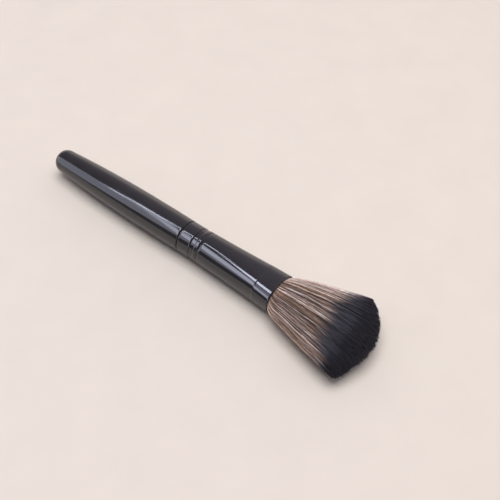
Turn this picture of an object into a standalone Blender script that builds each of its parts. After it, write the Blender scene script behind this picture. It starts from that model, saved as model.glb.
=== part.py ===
"""Short cosmetic brush: a lacquered wooden handle, a crimped and pressed aluminium ferrule, and a wide
tuft of dip-dyed bristles glued into its mouth. Metres, +Z up.

The brush lies on its side on a table. +X runs along it from the butt to the tips, and +Y across the
flat of the tuft. The origin is on the table, under the middle of the brush's length and of the tuft's
width; the tuft leans to one side of the handle.
"""
import math

import bmesh
import bpy
from mathutils import Vector
from mathutils.geometry import delaunay_2d_cdt

# Handle: a rounded butt, a barrel that swells to a level belly, and a neck down to the shoulder
BUTT_RADIUS = 0.0046
BUTT_DOME_LENGTH = 0.0044
BARREL_LENGTH = 0.0440
BELLY_RADIUS = 0.0062
BELLY_LENGTH = 0.0060
NECK_LENGTH = 0.0105
SHOULDER_RISE = 0.00005
SHOULDER_ROUNDING = 0.0004

# Tenon: the stub of the handle inside the ferrule. Past the crimps it has a plain land, a turned
# groove for adhesive and a chamfered nose
TENON_LAND_LENGTH = 0.0027
GLUE_GROOVE_LENGTH = 0.0060
GLUE_GROOVE_DEPTH = 0.0013
TENON_NOSE_LENGTH = 0.0050
TENON_CHAMFER = 0.0008

# Ferrule: a collar drawn in round the tenon, two crimp grooves with a sunk band and a bead between
# them, a body that widens, and a stretch pressed to an oval between a soft step and the mouth
SHELL_WALL = 0.0004
BODY_RADIUS = 0.00618
BODY_LENGTH = 0.0249
COLLAR_DRAW = 0.00013
COLLAR_LENGTH = 0.0052
GROOVE_WIDTH = 0.0004
GROOVE_DEPTH = 0.00025
BAND_LENGTH = 0.0015
BAND_DEPTH = 0.00012
BEAD_LENGTH = 0.0020
BEAD_RISE = 0.00008
STEP_HALF_WIDTH = 0.0070
STEP_HALF_HEIGHT = 0.00612
STEP_LENGTH = 0.0005
STEP_DEPTH = 0.00015
PRESSED_LENGTH = 0.0067
MOUTH_HALF_WIDTH = 0.0075
MOUTH_HALF_HEIGHT = 0.0056

# Fit: the gap between neighbours that touch or are glued
FIT_GAP = 0.0003

# Hair roots: the slice that the bristles stand on, the plug behind it and the thread round its waist
SLICE_INSET = 0.0010
SLICE_THICKNESS = 0.0015
PLUG_TO_TENON = 0.0018
WAIST_START = 0.0036
WAIST_LENGTH = 0.0031
WAIST_DEPTH = 0.0012
THREAD_RIDGE = 0.00015

# Tuft: the reach of its longest hair past the mouth, how much shorter the hair is at the far side, the
# near side, and the top and underside, how far the tuft's tips lean, how far the handle's axis lies from
# the middle of the tuft's width, and how deep the table presses into the tuft's lowest strands
HAIR_LENGTH = 0.0374
FAR_DROP = 0.0118
NEAR_DROP = 0.0066
DOME_DROP = 0.0055
TUFT_HALF_WIDTH = 0.0190
TUFT_LEAN = 0.0018
AXIS_SHIFT = 0.0007
TIP_HALF_HEIGHT = 0.0042
TUFT_SWELL = 0.0022
TABLE_PRESS = 0.0003

# Counts, powers and shares, which have no unit
SIDES = 40
STRANDS = 340
STRAND_SIDES = 3
THREAD_TURNS = 4
BUTT_POWER = 2.3
PRESSED_POWER = 2.4
FLARE_POWER = 1.15
PUFF_POWER = 27.0
PUFF_SHARE = 0.14
DROP_POWER = 2.0
DOME_POWER = 2.5
BEAD_CREST_SHARES = (0.3, 0.7)
BODY_RING_SHARES = (0.25, 0.5, 0.75)
PRESSED_RING_SHARE = 0.5
PEAK_SHARE = -0.15
TUFT_DISC_SHARE = 0.96
STRAND_ROOT_SHARE = 0.028
STRAND_BODY_SHARE = 0.038
STRAND_RING_SHARES = (0.0, 0.055, 0.28, 0.62)

# Radii that follow the ferrule's body, so that handle, collar and body keep together
COLLAR_RADIUS = BODY_RADIUS - COLLAR_DRAW
SHOULDER_RADIUS = COLLAR_RADIUS + SHOULDER_RISE

# Stations along the ferrule, measured from its rear edge
FIRST_GROOVE = COLLAR_LENGTH
BAND = FIRST_GROOVE + GROOVE_WIDTH
BEAD = BAND + BAND_LENGTH
SECOND_GROOVE = BEAD + BEAD_LENGTH
BODY = SECOND_GROOVE + GROOVE_WIDTH
STEP = BODY + BODY_LENGTH
PRESSED = STEP + STEP_LENGTH
FERRULE_LENGTH = PRESSED + PRESSED_LENGTH
SLICE_FRONT = FERRULE_LENGTH - SLICE_INSET
PLUG_FRONT = SLICE_FRONT - SLICE_THICKNESS - FIT_GAP
WAIST_FRONT = PLUG_FRONT - WAIST_START
WAIST_BACK = WAIST_FRONT - WAIST_LENGTH
GLUE_GROOVE = BODY + TENON_LAND_LENGTH
GLUE_GROOVE_END = GLUE_GROOVE + GLUE_GROOVE_LENGTH
TENON_END = GLUE_GROOVE_END + TENON_NOSE_LENGTH
PLUG_BACK = TENON_END + PLUG_TO_TENON

# Stations along the brush, measured from the end of its butt
BARREL_END = BUTT_DOME_LENGTH + BARREL_LENGTH
BELLY_END = BARREL_END + BELLY_LENGTH
SHOULDER = BELLY_END + NECK_LENGTH
FERRULE_REAR = SHOULDER + FIT_GAP
MOUTH = FERRULE_REAR + FERRULE_LENGTH
BRUSH_LENGTH = MOUTH + HAIR_LENGTH

# The fullest section lies on the table with one of its flat sides down
FULLEST = max(BELLY_RADIUS, SHOULDER_RADIUS, COLLAR_RADIUS + BEAD_RISE, BODY_RADIUS,
              STEP_HALF_HEIGHT, MOUTH_HALF_HEIGHT)
AXIS_HEIGHT = FULLEST * math.cos(math.pi / SIDES)


def blend(low, high, share):
    return low + (high - low) * share


def clear_scene():
    for thing in list(bpy.data.objects):
        bpy.data.objects.remove(thing, do_unlink=True)


def material(name, colour, roughness, metallic=0.0, coat=0.0):
    """A Principled material; colour is linear red, green and blue."""
    made = bpy.data.materials.new(name)
    made.use_nodes = True
    shader = made.node_tree.nodes["Principled BSDF"]
    shader.inputs["Base Color"].default_value = (*colour, 1.0)
    shader.inputs["Roughness"].default_value = roughness
    shader.inputs["Metallic"].default_value = metallic
    shader.inputs["Coat Weight"].default_value = coat
    made.diffuse_color = (*colour, 1.0)
    return made


def oval(along, half_width, half_height, power=2.0):
    """One section across the brush: an ellipse at power 2, squarer above it, with a flat side down."""
    points = []
    for side in range(SIDES):
        angle = (side + 0.5) * math.tau / SIDES
        across, up = math.cos(angle), math.sin(angle)
        points.append(Vector((
            along,
            half_width * math.copysign(abs(across) ** (2.0 / power), across),
            half_height * math.copysign(abs(up) ** (2.0 / power), up))))
    return points


def circle(along, radius):
    return oval(along, radius, radius)


def skin(mesh, sections, joined_up=False):
    """Faces between neighbouring sections; joined_up also joins the last one to the first."""
    rings = [[mesh.verts.new(point) for point in section] for section in sections]
    pairs = list(zip(rings, rings[1:]))
    if joined_up:
        pairs.append((rings[-1], rings[0]))
    for one, other in pairs:
        for side in range(SIDES):
            after = (side + 1) % SIDES
            mesh.faces.new((one[side], one[after], other[after], other[side]))
    return rings


def cap(mesh, ring, along):
    """Closes a section with a fan to a point on the axis."""
    pole = mesh.verts.new((along, 0.0, 0.0))
    for side in range(SIDES):
        mesh.faces.new((ring[side], ring[(side + 1) % SIDES], pole))


def finish(name, mesh, looks, station, brush):
    """Makes the object, shades it smooth and hangs it on the brush's axis at its station."""
    bmesh.ops.recalc_face_normals(mesh, faces=mesh.faces)
    data = bpy.data.meshes.new(name)
    mesh.to_mesh(data)
    mesh.free()
    for look in looks:
        data.materials.append(look)
    data.shade_smooth()
    data.set_sharp_from_angle(angle=math.radians(35))
    thing = bpy.data.objects.new(name, data)
    bpy.context.collection.objects.link(thing)
    thing.parent = brush
    thing.location = (station, 0.0, 0.0)


def crimped_profile(inset):
    """The collar and the crimps as pairs of station and radius, from the rear to the body."""
    groove_floor = COLLAR_RADIUS - GROOVE_DEPTH
    band_radius = COLLAR_RADIUS - BAND_DEPTH
    profile = [(FIRST_GROOVE, COLLAR_RADIUS), (blend(FIRST_GROOVE, BAND, 0.5), groove_floor),
               (BAND, band_radius), (BEAD, band_radius)]
    profile += [(blend(BEAD, SECOND_GROOVE, share), COLLAR_RADIUS + BEAD_RISE)
                for share in BEAD_CREST_SHARES]
    profile += [(SECOND_GROOVE, band_radius), (blend(SECOND_GROOVE, BODY, 0.5), groove_floor),
                (BODY, BODY_RADIUS)]
    return [(station, radius - inset) for station, radius in profile]


def body_section(station, inset=0.0):
    """The ferrule's section past its crimps: round at first, then squarer and flatter to the mouth."""
    if station <= STEP:
        share = max(0.0, (station - BODY) / BODY_LENGTH)
        half_width = blend(BODY_RADIUS, STEP_HALF_WIDTH, share)
        half_height = blend(BODY_RADIUS, STEP_HALF_HEIGHT, share)
        power = blend(2.0, PRESSED_POWER, share ** 2)
    else:
        share = (station - STEP) / (FERRULE_LENGTH - STEP)
        sunk = STEP_DEPTH * min(1.0, (station - STEP) / STEP_LENGTH) * (1.0 - share)
        half_width = blend(STEP_HALF_WIDTH, MOUTH_HALF_WIDTH, share) + sunk
        half_height = blend(STEP_HALF_HEIGHT, MOUTH_HALF_HEIGHT, share) - sunk
        power = PRESSED_POWER
    return oval(station, half_width - inset, half_height - inset, power)


def butt_dome(rings):
    """A dome a little fuller than half a ball."""
    sections = []
    for ring in range(1, rings):
        angle = math.pi / 2 * ring / rings
        along = BUTT_DOME_LENGTH * (1.0 - math.cos(angle) ** (2.0 / BUTT_POWER))
        sections.append(circle(along, BUTT_RADIUS * math.sin(angle) ** (2.0 / BUTT_POWER)))
    return sections


def barrel(rings):
    """The barrel swells along a parabola that is level where it meets the belly."""
    sections = []
    for ring in range(rings + 1):
        share = ring / rings
        radius = blend(BUTT_RADIUS, BELLY_RADIUS, 1.0 - (1.0 - share) ** 2)
        sections.append(circle(BUTT_DOME_LENGTH + BARREL_LENGTH * share, radius))
    return sections


def neck_and_lip(neck_rings, lip_rings):
    """From the belly's end down to the shoulder, whose edge is rounded over."""
    sections = [circle(BELLY_END, BELLY_RADIUS)]
    for ring in range(1, neck_rings):
        share = ring / neck_rings
        sections.append(circle(blend(BELLY_END, SHOULDER, share),
                               blend(BELLY_RADIUS, SHOULDER_RADIUS, share ** 2)))
    for ring in range(lip_rings + 1):
        angle = math.pi / 2 * ring / lip_rings
        sections.append(circle(SHOULDER - SHOULDER_ROUNDING * (1.0 - math.sin(angle)),
                               SHOULDER_RADIUS - SHOULDER_ROUNDING * (1.0 - math.cos(angle))))
    return sections


def tenon():
    """The tenon keeps the fit gap to the shell all along the crimps that hold it."""
    crimps = crimped_profile(SHELL_WALL + FIT_GAP)
    radius = crimps[0][1]
    groove_radius = radius - GLUE_GROOVE_DEPTH
    sections = [circle(SHOULDER, radius)]
    sections += [circle(FERRULE_REAR + station, held) for station, held in crimps[:-1]]
    for station, turned in ((BODY, radius), (GLUE_GROOVE, radius), (GLUE_GROOVE, groove_radius),
                            (GLUE_GROOVE_END, groove_radius), (GLUE_GROOVE_END, radius),
                            (TENON_END - TENON_CHAMFER, radius), (TENON_END, radius - TENON_CHAMFER)):
        sections.append(circle(FERRULE_REAR + station, turned))
    return sections


def build_handle(brush):
    """Turned wood in one piece, from the pole of its butt to the end of its tenon."""
    mesh = bmesh.new()
    rings = skin(mesh, butt_dome(7) + barrel(14) + neck_and_lip(3, 3) + tenon())
    cap(mesh, rings[0], 0.0)
    cap(mesh, rings[-1], FERRULE_REAR + TENON_END)
    look = material("black_lacquer", (0.012, 0.012, 0.013), 0.22, coat=1.0)
    finish("handle", mesh, [look], 0.0, brush)


def build_ferrule(brush):
    """A thin shell: along its outside to the mouth, round the lip and back along its inside."""
    edge = SHELL_WALL / 2
    turns = [math.pi * quarter / 4 for quarter in (1, 2, 3)]
    stations = [blend(BODY, STEP, share) for share in BODY_RING_SHARES]
    stations += [STEP, PRESSED, blend(PRESSED, FERRULE_LENGTH, PRESSED_RING_SHARE), FERRULE_LENGTH - edge]

    outside = [circle(edge, COLLAR_RADIUS)]
    outside += [circle(*pair) for pair in crimped_profile(0.0)]
    outside += [body_section(station) for station in stations]
    lip = [body_section(FERRULE_LENGTH - edge + edge * math.sin(turn), edge - edge * math.cos(turn))
           for turn in turns]
    inside = [body_section(station, SHELL_WALL) for station in reversed(stations)]
    inside += [circle(*pair) for pair in reversed(crimped_profile(SHELL_WALL))]
    inside.append(circle(edge, COLLAR_RADIUS - SHELL_WALL))
    rear = [circle(edge - edge * math.sin(turn), COLLAR_RADIUS - edge + edge * math.cos(turn))
            for turn in reversed(turns)]

    mesh = bmesh.new()
    skin(mesh, outside + lip + inside + rear, joined_up=True)
    look = material("black_aluminium", (0.014, 0.014, 0.016), 0.18, metallic=0.6, coat=0.5)
    finish("ferrule", mesh, [look], FERRULE_REAR, brush)


def build_tenon_glue(brush):
    """A ring of adhesive that fills the tenon's groove out to the shell."""
    start = GLUE_GROOVE + FIT_GAP
    end = GLUE_GROOVE_END - FIT_GAP
    outer = SHELL_WALL + FIT_GAP
    bore = COLLAR_RADIUS - outer - GLUE_GROOVE_DEPTH + FIT_GAP
    mesh = bmesh.new()
    skin(mesh, [body_section(start, outer), body_section(end, outer),
                circle(end, bore), circle(start, bore)], joined_up=True)
    look = material("tenon_adhesive", (0.55, 0.50, 0.38), 0.45)
    finish("tenon_glue", mesh, [look], FERRULE_REAR, brush)


def build_root_glue(brush):
    """A plug of cured resin behind the bristles' slice, with a waist where the thread lies."""
    full = SHELL_WALL + FIT_GAP
    sunk = full + WAIST_DEPTH
    mesh = bmesh.new()
    rings = skin(mesh, [body_section(station, inset) for station, inset in (
        (PLUG_FRONT, full), (WAIST_FRONT, full), (WAIST_FRONT, sunk),
        (WAIST_BACK, sunk), (WAIST_BACK, full), (PLUG_BACK, full))])
    cap(mesh, rings[0], PLUG_FRONT)
    cap(mesh, rings[-1], PLUG_BACK)
    look = material("root_resin", (0.42, 0.30, 0.16), 0.4)
    finish("root_glue", mesh, [look], FERRULE_REAR, brush)


def build_binding_thread(brush):
    """Thread wound round the hair's waist, as one ring with a ridge for each turn."""
    front = WAIST_FRONT - FIT_GAP
    back = WAIST_BACK + FIT_GAP
    outer = SHELL_WALL + FIT_GAP
    inner = outer + WAIST_DEPTH - FIT_GAP
    sections = []
    for half_turn in range(2 * THREAD_TURNS + 1):
        valley = THREAD_RIDGE if half_turn % 2 == 0 else 0.0
        station = blend(front, back, half_turn / (2 * THREAD_TURNS))
        sections.append(body_section(station, outer + valley))
    mesh = bmesh.new()
    skin(mesh, sections + [body_section(back, inner), body_section(front, inner)], joined_up=True)
    look = material("binding_cotton", (0.72, 0.70, 0.64), 0.9)
    finish("binding_thread", mesh, [look], FERRULE_REAR, brush)


def tip_reach(across, up):
    """How far past the mouth a hair ends; it is longest a little to the near side of the middle."""
    if across > PEAK_SHARE:
        drop = FAR_DROP * ((across - PEAK_SHARE) / (1.0 - PEAK_SHARE)) ** DROP_POWER
    else:
        drop = NEAR_DROP * ((PEAK_SHARE - across) / (1.0 + PEAK_SHARE)) ** DROP_POWER
    return HAIR_LENGTH - drop - DOME_DROP * abs(up) ** DOME_POWER


def tuft_point(across, up, reach):
    """Where the hair at (across, up) of the unit disc passes, at this reach past the mouth.

    The hair puffs out as it leaves the mouth and then spreads almost evenly. Hairs keep their order in
    the disc at every reach, so none of them cross. Where the underside would swell below the table, it
    is pressed flat on it.
    """
    share = max(0.0, reach / HAIR_LENGTH)
    root_half_width = MOUTH_HALF_WIDTH - SHELL_WALL - FIT_GAP
    root_half_height = MOUTH_HALF_HEIGHT - SHELL_WALL - FIT_GAP
    spread = 1.0 - (1.0 - share) ** FLARE_POWER
    puff = 1.0 - (1.0 - share) ** PUFF_POWER
    half_width = blend(root_half_width, TUFT_HALF_WIDTH, blend(spread, puff, PUFF_SHARE))
    half_height = blend(root_half_height, TIP_HALF_HEIGHT, share) + TUFT_SWELL * 4 * share * (1.0 - share)
    rise = up * half_height
    if up < 0.0:
        lowest = half_height * math.sqrt(1.0 - across ** 2)
        rise *= min(1.0, (AXIS_HEIGHT + TABLE_PRESS) / lowest)
        rise = max(rise, -AXIS_HEIGHT)
    return Vector((reach, across * half_width + TUFT_LEAN * share, rise))


def strand_places():
    """Even places in the unit disc, laid out like the seeds of a sunflower, each with its own turn."""
    golden_angle = math.pi * (3.0 - math.sqrt(5.0))
    for index in range(STRANDS):
        radius = TUFT_DISC_SHARE * math.sqrt((index + 0.5) / STRANDS)
        angle = index * golden_angle
        yield radius * math.cos(angle), radius * math.sin(angle), angle


def add_strand(mesh, across, up, turn):
    """One strand, from its open base on the slice to its point; its last stretch is dyed."""
    reach = tip_reach(across, up)
    levels = [(-SLICE_INSET, STRAND_ROOT_SHARE)]
    levels += [(reach * share, STRAND_BODY_SHARE) for share in STRAND_RING_SHARES]
    corners = [turn + math.tau * corner / STRAND_SIDES for corner in range(STRAND_SIDES)]
    rings = []
    for along, width_share in levels:
        rings.append([mesh.verts.new(tuft_point(across + width_share * math.cos(corner),
                                                up + width_share * math.sin(corner), along))
                      for corner in corners])
    tip = mesh.verts.new(tuft_point(across, up, reach))
    for side in range(STRAND_SIDES):
        after = (side + 1) % STRAND_SIDES
        for one, other in zip(rings, rings[1:]):
            mesh.faces.new((one[side], one[after], other[after], other[side]))
        mesh.faces.new((rings[-1][side], rings[-1][after], tip)).material_index = 1
    return rings[0]


def fill_slice_front(mesh, outline, bases):
    """Fills the slice's front face round the strands' bases, which stay open into them."""
    corners = list(outline)
    loops = [list(range(len(outline)))]
    for base in bases:
        loops.append(list(range(len(corners), len(corners) + len(base))))
        corners += base
    flat = [Vector((corner.co.y, corner.co.z)) for corner in corners]
    _, _, faces, sources, _, owners = delaunay_2d_cdt(flat, [], loops, 1, 0.0)
    for face, owner in zip(faces, owners):
        if owner == [0]:
            mesh.faces.new([corners[sources[vertex][0]] for vertex in face])


def build_bristles(brush):
    """Three-sided strands that taper to a point, standing on one slice of the resin-bound roots."""
    mesh = bmesh.new()
    outline = [Vector((-SLICE_INSET, point.y, point.z))
               for point in body_section(SLICE_FRONT, SHELL_WALL + FIT_GAP)]
    behind = Vector((SLICE_THICKNESS, 0.0, 0.0))
    front, back = skin(mesh, [outline, [point - behind for point in outline]])
    mesh.faces.new(back)
    bases = [add_strand(mesh, *place) for place in strand_places()]
    fill_slice_front(mesh, front, bases)
    brown = material("brown_hair", (0.145, 0.105, 0.085), 0.6)
    dyed = material("dyed_tips", (0.02, 0.02, 0.026), 0.6)
    finish("bristles", mesh, [brown, dyed], MOUTH, brush)


def build_brush():
    clear_scene()
    brush = bpy.data.objects.new("brush", None)
    bpy.context.collection.objects.link(brush)
    brush.location = (-BRUSH_LENGTH / 2, -AXIS_SHIFT, AXIS_HEIGHT)
    build_handle(brush)
    build_ferrule(brush)
    build_tenon_glue(brush)
    build_root_glue(brush)
    build_binding_thread(brush)
    build_bristles(brush)


build_brush()
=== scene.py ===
"""Looks of a short cosmetic brush: lacquered handle, crimped black ferrule and a wide dip-dyed tuft.

Metres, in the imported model's frame: +X from the butt of the handle to the tips, +Y across the flat of
the tuft to its shorter side, +Z up from the table.
"""

import math

import bpy
import numpy as np
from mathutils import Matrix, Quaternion, Vector


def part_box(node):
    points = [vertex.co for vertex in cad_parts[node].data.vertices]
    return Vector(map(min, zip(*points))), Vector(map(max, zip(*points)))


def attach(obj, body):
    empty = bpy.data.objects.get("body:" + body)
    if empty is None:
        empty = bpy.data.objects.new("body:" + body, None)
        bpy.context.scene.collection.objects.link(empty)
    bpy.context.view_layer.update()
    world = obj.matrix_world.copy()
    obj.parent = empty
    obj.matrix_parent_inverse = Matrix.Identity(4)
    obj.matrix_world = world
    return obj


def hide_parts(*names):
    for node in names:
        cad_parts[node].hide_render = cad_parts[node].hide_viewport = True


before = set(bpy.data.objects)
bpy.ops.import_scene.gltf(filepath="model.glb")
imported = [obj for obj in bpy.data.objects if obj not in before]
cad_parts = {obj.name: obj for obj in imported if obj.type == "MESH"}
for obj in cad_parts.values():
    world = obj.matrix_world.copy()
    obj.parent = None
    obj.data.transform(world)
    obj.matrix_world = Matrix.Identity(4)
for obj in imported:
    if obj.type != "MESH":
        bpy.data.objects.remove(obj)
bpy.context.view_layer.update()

MM = 0.001
UV_MAP = "OFBake"

# Places that the frame gives
handle_low, handle_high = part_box("handle")
ferrule_low, ferrule_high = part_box("ferrule")
_, tuft_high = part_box("bristles")
BUTT = handle_low.x
AXIS_ACROSS = (handle_low.y + handle_high.y) / 2
AXIS_HEIGHT = (handle_low.z + handle_high.z) / 2
FERRULE_REAR = ferrule_low.x
MOUTH = ferrule_high.x
FERRULE_LENGTH = MOUTH - FERRULE_REAR
HAIR_LENGTH = tuft_high.x - MOUTH

# Handle, as in the part
BUTT_RADIUS = 4.6 * MM
BUTT_DOME_LENGTH = 4.4 * MM
BUTT_POWER = 2.3
BARREL_LENGTH = 44.0 * MM
BELLY_RADIUS = 6.2 * MM
BELLY_LENGTH = 6.0 * MM
SHOULDER_RADIUS = 6.1 * MM
SHOULDER_ROUNDING = 0.4 * MM
FIT_GAP = 0.3 * MM
TENON_LAND_LENGTH = 2.7 * MM
GLUE_GROOVE_LENGTH = 6.0 * MM
GLUE_GROOVE_DEPTH = 1.3 * MM
TENON_NOSE_LENGTH = 5.0 * MM
TENON_CHAMFER = 0.8 * MM

# Ferrule, as in the part, but for its crimp grooves, which are rounded and so a little shallower
SHELL_WALL = 0.4 * MM
BODY_RADIUS = 6.18 * MM
BODY_LENGTH = 24.9 * MM
COLLAR_RADIUS = 6.05 * MM
COLLAR_LENGTH = 5.2 * MM
GROOVE_WIDTH = 0.4 * MM
GROOVE_DEPTH = 0.25 * MM
GROOVE_DEPTH_SHARE = 0.8
BAND_LENGTH = 1.5 * MM
BAND_DEPTH = 0.12 * MM
BEAD_LENGTH = 2.0 * MM
BEAD_RISE = 0.08 * MM
BEAD_CREST_SHARE = 0.3
STEP_HALF_WIDTH = 7.0 * MM
STEP_HALF_HEIGHT = 6.12 * MM
STEP_LENGTH = 0.5 * MM
STEP_DEPTH = 0.15 * MM
MOUTH_HALF_WIDTH = 7.5 * MM
MOUTH_HALF_HEIGHT = 5.6 * MM
ROUND_POWER = 2.0
PRESSED_POWER = 2.4

# Tuft, as in the part
FAR_DROP = 11.8 * MM
NEAR_DROP = 6.6 * MM
DOME_DROP = 5.5 * MM
TUFT_HALF_WIDTH = 19.0 * MM
TUFT_LEAN = 1.8 * MM
TIP_HALF_HEIGHT = 4.2 * MM
TUFT_SWELL = 2.2 * MM
TABLE_PRESS = 0.3 * MM
FLARE_POWER = 1.15
PUFF_POWER = 27.0
PUFF_SHARE = 0.14
DROP_POWER = 2.0
DOME_POWER = 2.5
PEAK_SHARE = -0.15

# Stations along the ferrule, from its rear edge
FIRST_GROOVE = COLLAR_LENGTH
BAND = FIRST_GROOVE + GROOVE_WIDTH
BEAD = BAND + BAND_LENGTH
SECOND_GROOVE = BEAD + BEAD_LENGTH
BODY = SECOND_GROOVE + GROOVE_WIDTH
STEP = BODY + BODY_LENGTH

# Stations along the handle, from the end of its butt
BARREL_END = BUTT_DOME_LENGTH + BARREL_LENGTH
BELLY_END = BARREL_END + BELLY_LENGTH
SHOULDER = FERRULE_REAR - FIT_GAP - BUTT

# Fineness of the lofted pieces: sides round them, and sections along each stretch
ROUND_SIDES = 128
BUTT_SECTIONS = 24
BARREL_SECTIONS = 44
NECK_SECTIONS = 12
LIP_SECTIONS = 9
TENON_SECTIONS = 39
COLLAR_SECTIONS = 11
CRIMP_SECTIONS = 84
BODY_SECTIONS = 39
STEP_SECTIONS = 8
PRESSED_SECTIONS = 17
RIM_SECTIONS = 8
SHARP_ANGLE = math.radians(40.0)
LEAST_STEP = 1e-6
MAP_MARGIN = 0.02


def blend(low, high, share):
    return low + (high - low) * share


def eased(share):
    """0 to 1 with level ends; works on numbers and arrays."""
    share = np.clip(share, 0.0, 1.0)
    return share * share * (3.0 - 2.0 * share)


# Shapes

def make_piece(name, points, faces, looks, face_looks=None, uv=None):
    """A smooth-shaded object from points and faces, with one UV pair for each corner if given."""
    mesh = bpy.data.meshes.new(name)
    mesh.from_pydata(points, [], faces)
    for look in looks:
        mesh.materials.append(look)
    if face_looks is not None:
        mesh.polygons.foreach_set("material_index", np.asarray(face_looks, np.int32))
    if uv is not None:
        layer = mesh.uv_layers.new(name=UV_MAP)
        layer.uv.foreach_set("vector", np.asarray(uv, np.float32).ravel())
    mesh.update()
    mesh.shade_smooth()
    piece = bpy.data.objects.new(name, mesh)
    bpy.context.scene.collection.objects.link(piece)
    return piece


def oval_points(x, half_width, half_height, power):
    """Points round a section on the handle's axis: an ellipse at power 2, and squarer above it."""
    angle = (np.arange(ROUND_SIDES) + 0.5) * math.tau / ROUND_SIDES
    across, up = np.cos(angle), np.sin(angle)
    y = half_width * np.copysign(np.abs(across) ** (2.0 / power), across)
    z = half_height * np.copysign(np.abs(up) ** (2.0 / power), up)
    return np.stack([np.full(ROUND_SIDES, x), y + AXIS_ACROSS, z + AXIS_HEIGHT], axis=1)


def loft(name, sections, looks, look_of_band, closed_up=False):
    """Skins sections of (x, half width, half height, power); the ends get poles, or join if closed_up.

    The UV map runs once round the piece and once along it.
    """
    sides = ROUND_SIDES
    rings = [oval_points(*section) for section in sections]
    following = rings[1:] + rings[:1] if closed_up else rings[1:]
    steps = [0.0]
    for ring, after in zip(rings, following):
        steps.append(steps[-1] + max(float(np.abs(ring - after).max()), LEAST_STEP))
    along = [step / steps[-1] for step in steps]
    points = np.concatenate(rings)
    faces, face_looks, uv = [], [], []

    def corner_uv(side, share):
        return side / sides, blend(MAP_MARGIN, 1.0 - MAP_MARGIN, share)

    for band in range(len(following)):
        start = band * sides
        end = (band + 1) % len(rings) * sides
        for side in range(sides):
            beside = (side + 1) % sides
            faces.append((start + side, end + side, end + beside, start + beside))
            face_looks.append(look_of_band(band))
            uv += [corner_uv(side, along[band]), corner_uv(side, along[band + 1]),
                   corner_uv(side + 1, along[band + 1]), corner_uv(side + 1, along[band])]
    if not closed_up:
        poles = [(sections[end][0], AXIS_ACROSS, AXIS_HEIGHT) for end in (0, -1)]
        points = np.concatenate([points, np.array(poles)])
        first_pole, last_pole = len(points) - 2, len(points) - 1
        last = (len(rings) - 1) * sides
        for side in range(sides):
            beside = (side + 1) % sides
            faces.append((first_pole, side, beside))
            face_looks.append(look_of_band(0))
            uv += [(side / sides, 0.0), corner_uv(side, 0.0), corner_uv(side + 1, 0.0)]
            faces.append((last_pole, last + beside, last + side))
            face_looks.append(look_of_band(len(following) - 1))
            uv += [(side / sides, 1.0), corner_uv(side + 1, 1.0), corner_uv(side, 1.0)]
    piece = make_piece(name, points.tolist(), faces, looks, face_looks, uv)
    piece.data.set_sharp_from_angle(angle=SHARP_ANGLE)
    return piece


def handle_sections():
    """(station, radius) along the handle, with the butt's dome, barrel, belly, neck and rounded lip."""
    turned = []
    for share in np.linspace(0.0, 1.0, BUTT_SECTIONS + 1)[1:]:
        angle = math.pi / 2 * share
        turned.append((BUTT_DOME_LENGTH * (1.0 - math.cos(angle) ** (2.0 / BUTT_POWER)),
                       BUTT_RADIUS * math.sin(angle) ** (2.0 / BUTT_POWER)))
    for share in np.linspace(0.0, 1.0, BARREL_SECTIONS + 1)[1:]:
        turned.append((BUTT_DOME_LENGTH + BARREL_LENGTH * share,
                       blend(BUTT_RADIUS, BELLY_RADIUS, 1.0 - (1.0 - share) ** 2)))
    turned.append((BELLY_END, BELLY_RADIUS))
    for share in np.linspace(0.0, 1.0, NECK_SECTIONS + 1)[1:-1]:
        turned.append((blend(BELLY_END, SHOULDER, share),
                       blend(BELLY_RADIUS, SHOULDER_RADIUS, share ** 2)))
    for share in np.linspace(0.0, 1.0, LIP_SECTIONS + 1):
        angle = math.pi / 2 * share
        turned.append((SHOULDER - SHOULDER_ROUNDING * (1.0 - math.sin(angle)),
                       SHOULDER_RADIUS - SHOULDER_ROUNDING * (1.0 - math.cos(angle))))
    return turned


def tenon_sections():
    """(station, radius) of the hidden tenon, which follows the crimps that hold it."""
    inset = SHELL_WALL + FIT_GAP
    radius = COLLAR_RADIUS - inset
    groove = BODY + TENON_LAND_LENGTH
    groove_end = groove + GLUE_GROOVE_LENGTH
    end = groove_end + TENON_NOSE_LENGTH
    turned = [(SHOULDER, radius)]
    turned += [(SHOULDER + FIT_GAP + station, crimp_radius(station) - inset)
               for station in np.linspace(0.0, BODY, TENON_SECTIONS + 1)]
    for station, held in ((BODY, radius), (groove, radius), (groove, radius - GLUE_GROOVE_DEPTH),
                          (groove_end, radius - GLUE_GROOVE_DEPTH), (groove_end, radius),
                          (end - TENON_CHAMFER, radius), (end, radius - TENON_CHAMFER)):
        turned.append((SHOULDER + FIT_GAP + station, held))
    return turned


def dip(station, start):
    """Rises from 0 to 1 and falls again across a crimp groove."""
    share = (station - start) / GROOVE_WIDTH
    return math.sin(math.pi * share) ** 2 if 0.0 < share < 1.0 else 0.0


def crimp_radius(station):
    """The outer radius from the collar over the two grooves, the band and the bead to the body."""
    band_radius = COLLAR_RADIUS - BAND_DEPTH
    if station < FIRST_GROOVE:
        radius = COLLAR_RADIUS
    elif station < BAND:
        radius = blend(COLLAR_RADIUS, band_radius, eased((station - FIRST_GROOVE) / GROOVE_WIDTH))
    elif station < BEAD:
        radius = band_radius
    elif station < SECOND_GROOVE:
        share = (station - BEAD) / BEAD_LENGTH
        crest = eased(min(share, 1.0 - share) / BEAD_CREST_SHARE)
        radius = band_radius + (BAND_DEPTH + BEAD_RISE) * crest
    else:
        radius = blend(band_radius, BODY_RADIUS, eased((station - SECOND_GROOVE) / GROOVE_WIDTH))
    dips = dip(station, FIRST_GROOVE) + dip(station, SECOND_GROOVE)
    return radius - GROOVE_DEPTH * GROOVE_DEPTH_SHARE * dips


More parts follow.
